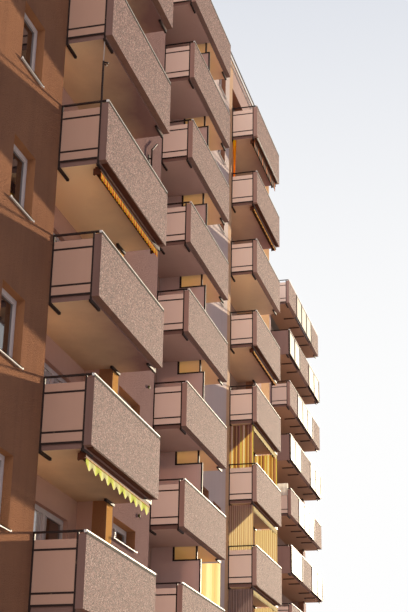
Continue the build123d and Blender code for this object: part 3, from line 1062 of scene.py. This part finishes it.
# An awning rolled in under a balcony. Its valance drops from a line below the slab and ends in lobes,
# which take up a share of the drop.
@dataclass
class Awning:
    section: Section
    balcony: Balcony
    storey: int
    cloth: bpy.types.Material
    band: bpy.types.Material
    drop: float
    lobes: int
    lobe: float
    line: float = 0.10
    trim: bpy.types.Material = None


AWNINGS = [
    Awning(SECTION_1, BALCONY_1, 4, ORANGE_CLOTH, BROWN_CLOTH, 0.18, 30, 0.12),
    Awning(SECTION_1, BALCONY_1, 2, GREEN_CLOTH, PEACH_CLOTH, 0.21, 11, 0.50, 0.12),
    Awning(SECTION_2, BALCONY_3, 8, RUST_CLOTH, RUST_CLOTH, 0.34, 12, 0.10, 0.03, PALE_CLOTH),
    Awning(SECTION_2, BALCONY_3, 7, ORANGE_CLOTH, BROWN_CLOTH, 0.09, 12, 0.10, 0.11),
    Awning(SECTION_2, BALCONY_3, 5, ORANGE_CLOTH, BROWN_CLOTH, 0.09, 12, 0.10, 0.11),
    Awning(SECTION_2, BALCONY_3, 4, CREAM_CLOTH, CREAM_CLOTH, 0.16, 12, 0.10),
    Awning(SECTION_2, BALCONY_3, 3, CREAM_CLOTH, CREAM_CLOTH, 0.20, 24, 0.20),
    Awning(SECTION_2, BALCONY_3, 2, CREAM_CLOTH, CREAM_CLOTH, 0.18, 24, 0.20),
]
ROLL_RADIUS = 0.055
CASE_DEPTH = 0.12
CASE_HEIGHT = 0.035
ARM = 0.03
SWAY = 0.010


# Each awning: a dark case over a roll of cloth, a cover under the balcony front, end brackets with
# their arms, a band, and a valance that hangs from it
def make_awning(name, awning):
    front = awning.section.inner_y()
    level = awning.section.level(awning.storey)
    top = level - SLAB_DROP
    case_foot = top - CASE_HEIGHT
    x0 = awning.balcony.x + AWNING_END_GAP
    x1 = awning.balcony.end_x() - AWNING_END_GAP

    roll = Shape()
    roll.tube((x0 + 0.05, front + 0.09, top - 0.08), (x1 - 0.05, front + 0.09, top - 0.08), ROLL_RADIUS, 16)
    rolled = dress(roll.object(name + "_roll", BROWN_CLOTH))

    metal = Shape()
    metal.box(x0, x1, front + 0.004, front + CASE_DEPTH, case_foot, top - 0.002)
    metal.box(x0, x1, front + 0.004, front + 0.02, top - 0.11, case_foot)
    metal.box(x0, x1, front - PANEL + 0.01, front + 0.004, level - 0.016, level - 0.004)
    for end in (x0, x1 - ARM):
        x = end + ARM / 2
        metal.box(end, end + ARM, front + 0.02, front + 0.16, top - 0.16, case_foot)
        metal.tube((x, front + 0.03, top - 0.10), (x, front + 0.15, top - 0.17), 0.014)
    case = dress(metal.object(name + "_case", UMBER_CASE))
    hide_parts("awnings")
    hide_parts("awnings")

    def hanging(u, v):
        lobe = abs(sin(pi * u * awning.lobes))
        drop = awning.drop * (1 - awning.lobe + awning.lobe * lobe)
        sway = SWAY * v * sin(2 * pi * u * awning.lobes)
        return x0 + u * (x1 - x0), front - 0.002 - sway, top - awning.line - v * drop

    valance, width, height, area = cloth_sheet(name + "_valance", awning.cloth, awning.lobes * 10, 4,
                                               hanging)

    band = Shape()
    band.box(x0, x1, front - 0.012, front + 0.004, top - awning.line - 0.025, top - awning.line)
    dress(band.object(name + "_band", awning.band))
    if awning.trim:
        trim, face = Shape(), front - PANEL
        trim.box(x0, x1, face - 0.006, face + 0.03, level - 0.04, level - 0.017)
        dress(trim.object(name + "_trim", awning.trim))


# A curtain across the near or far end of a balcony
@dataclass
class EndCurtain:
    balcony: Balcony
    storey: int
    far: bool
    cloth: bpy.types.Material


END_CURTAINS = [
    EndCurtain(BALCONY_3, 3, False, WIDE_STRIPES), EndCurtain(BALCONY_3, 3, True, WIDE_STRIPES),
    EndCurtain(BALCONY_3, 2, False, FINE_STRIPES), EndCurtain(BALCONY_3, 2, True, FINE_STRIPES),
    EndCurtain(BALCONY_3, 1, False, DULL_STRIPES), EndCurtain(BALCONY_3, 1, True, FINE_STRIPES),
    EndCurtain(BALCONY_2, 1, True, YELLOW_CLOTH),
]
FOLD = 0.014
FOLD_COUNT = 7


def make_end_curtain(name, curtain):
    level = SECTION_2.level(curtain.storey)
    front = SECTION_2.inner_y()
    top = level + STOREY - SLAB_DROP - FOOT
    x = curtain.balcony.x + POST + CURTAIN_GAP + CURTAIN / 2
    if curtain.far:
        x = curtain.balcony.end_x() - POST - CURTAIN_GAP - CURTAIN / 2

    # The folds open downwards, and each is a little wider or narrower than the next
    def hanging(u, v):
        fold = FOLD * (0.4 + 0.6 * v) * sin(2 * pi * u * FOLD_COUNT + 0.6 * sin(9 * u))
        return x + fold, front + u * (REACH - PANEL), top - v * (top - level - CURTAIN_FOOT)

    cloth, width, height, area = cloth_sheet(name, curtain.cloth, 84, 8, hanging)
    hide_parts("end_curtains")


# An orange curtain tied back to the wall at the near end of the third balcony's second highest storey
def tied_curtain():
    x, y = BALCONY_3.x + 0.09, SECTION_2.wall_y - 0.08
    foot, head = SECTION_2.level(7) + 1.05, SECTION_2.level(8) - SLAB_DROP - 0.01
    turned = ((foot, 0.055), (foot + 0.30, 0.03), (head, 0.07))
    roll = Shape()
    for (low, low_radius), (high, high_radius) in zip(turned, turned[1:]):
        roll.ring((x, y, low), (x, y, high), low_radius, high_radius, 14)
    dress(roll.object("tied_curtain", ORANGE_CLOTH))


# A pale blanket laid over the near end rail of one of the far balconies. It bulges up over the rail
# and hangs down on both sides of it.
BLANKET_WIDTH = 0.62
BLANKET_LENGTH = 0.9
RAIL_HALF = 0.06
BLANKET_BULGE = 0.24


def rail_blanket():
    x = BALCONY_4.x + 0.017
    front = SECTION_3.inner_y() + 0.01
    top = SECTION_3.level(5) + HANDRAIL_TOP + 0.02

    def hanging(u, v):
        y = front + BLANKET_WIDTH * u
        along = (v - 0.5) * BLANKET_LENGTH
        if abs(along) < RAIL_HALF:
            return x + along, y, top + BLANKET_BULGE * cos(along / RAIL_HALF * pi / 2) ** 0.5
        wave = 0.012 * sin(2 * pi * u * 3 + 2 * v)
        side = copysign(1, along)
        return x + side * (RAIL_HALF + wave + 0.02), y, top - (abs(along) - RAIL_HALF)

    cloth, _, _, area = cloth_sheet("rail_blanket", PALE_CLOTH, 18, 30, hanging)


for number, awning in enumerate(AWNINGS, 1):
    make_awning("awning_" + str(number), awning)
for number, curtain in enumerate(END_CURTAINS, 1):
    make_end_curtain("end_curtain_" + str(number), curtain)
tied_curtain()
rail_blanket()


def add_sun(name, toward, energy, colour, angle):
    sun = bpy.data.lights.new(name, "SUN")
    sun.energy = energy
    sun.color = colour
    sun.angle = radians(angle)
    lamp = new_object(name, sun)
    lamp.rotation_mode = "QUATERNION"
    lamp.rotation_quaternion = Vector(toward).to_track_quat("Z", "Y")


# The studio: a pale backdrop where it is seen, and a soft light that is dim and blue from the street
# side and brighter from the back
STREET_LIGHT = (0.03, 0.05, 0.16, 1.0)
BACK_LIGHT = (0.54, 0.53, 0.58, 1.0)
BACKDROP_LOW = (254, 254, 254)
BACKDROP_HIGH = (218, 222, 231)


def make_studio():
    world = bpy.data.worlds.new("studio")
    bpy.context.scene.world = world
    world.use_nodes = True
    world.node_tree.nodes.clear()
    t = Tree(world.node_tree)
    at = t.axes(t.node("ShaderNodeTexCoord").outputs["Generated"])
    rise = t.band(at["Z"], 0.24, 0.62)
    backdrop = t.mix(t.times(rise, rise), rgb(*BACKDROP_LOW), rgb(*BACKDROP_HIGH))
    light = t.mix(t.band(at["Y"], -1.0, 1.0), STREET_LIGHT, BACK_LIGHT)
    background = t.node("ShaderNodeBackground", {"Color": t.mix(t.seen(), light, backdrop)})
    t.node("ShaderNodeOutputWorld", {"Surface": background.outputs["Background"]})


# The floor's spans in x, y and z, just under the building
FLOOR = (-300, 360, -300, 320, -0.2, -0.002)


def make_floor():
    t = Finish("floor")
    pale = t.mix(t.noise(t.place, 0.8), rgb(246, 246, 245), rgb(252, 252, 251))
    finish = t.surface(t.mix(t.seen(), rgb(200, 199, 200), pale), 0.9, GLOSSY)
    floor = Shape()
    floor.box(*FLOOR)
    floor.object("floor", finish)


# A low warm key along the front from the far end, and broad soft fills from the near end and the back
add_sun("key", (4.0, -0.97, 0.88), 8.4, (1.0, 0.84, 0.61), 1.5)
add_sun("near_fill", (-4.0, -0.3, 1.0), 1.7, (1.0, 0.95, 0.93), 60)
add_sun("back_fill", (0.6, 3.0, 1.4), 1.3, (1.0, 0.97, 0.95), 60)
make_studio()
make_floor()
bpy.context.scene.view_settings.view_transform = "Standard"
